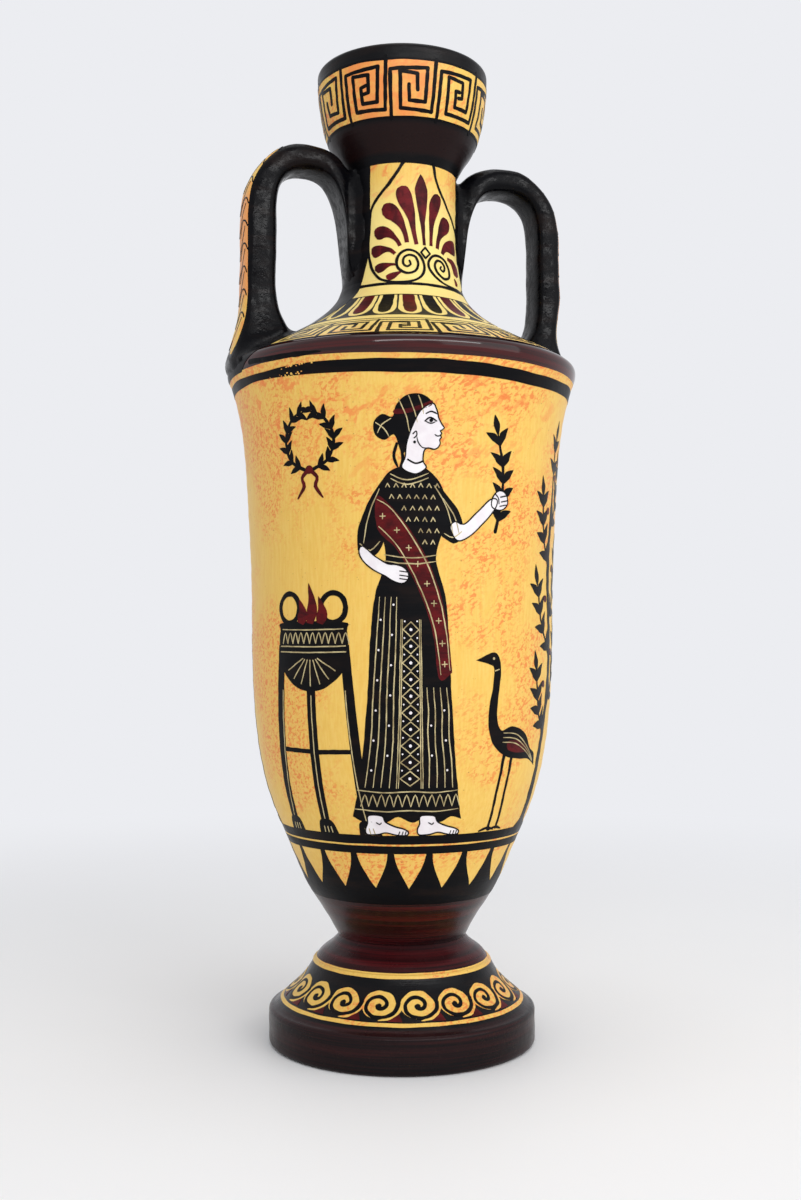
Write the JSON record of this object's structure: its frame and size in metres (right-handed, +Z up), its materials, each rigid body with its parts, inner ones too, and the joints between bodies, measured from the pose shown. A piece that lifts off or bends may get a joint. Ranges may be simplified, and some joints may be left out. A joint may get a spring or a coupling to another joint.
{
  "type": "lekythos",
  "caption": "Tall two-handled oil jug with a broad shoulder, narrow neck, deep cup mouth and a spreading stepped foot, hollow and open at the top.",
  "frame": {"origin": "centre of the foot on the resting plane", "axes": "+Z up the vessel's axis, handles towards +X and -X, painted front towards -Y"},
  "size_m": [0.1108, 0.108, 0.3],
  "materials": {
    "foot_clay": "black and dark red slip, semi-gloss varnish",
    "body_clay": "ochre ground with painted decoration, satin varnish",
    "shoulder_clay": "ochre, black and maroon bands, semi-gloss varnish",
    "neck_clay": "ochre ground with a painted palmette, satin varnish",
    "mouth_clay": "black slip with an ochre meander band, semi-gloss varnish",
    "handle_clay": "black slip, semi-gloss varnish"
  },
  "bodies": {
    "root": {"foot": "foot_clay", "body": "body_clay", "shoulder": "shoulder_clay", "neck": "neck_clay", "mouth": "mouth_clay", "left_handle": "handle_clay", "right_handle": "handle_clay"}
  },
  "joints": []
}
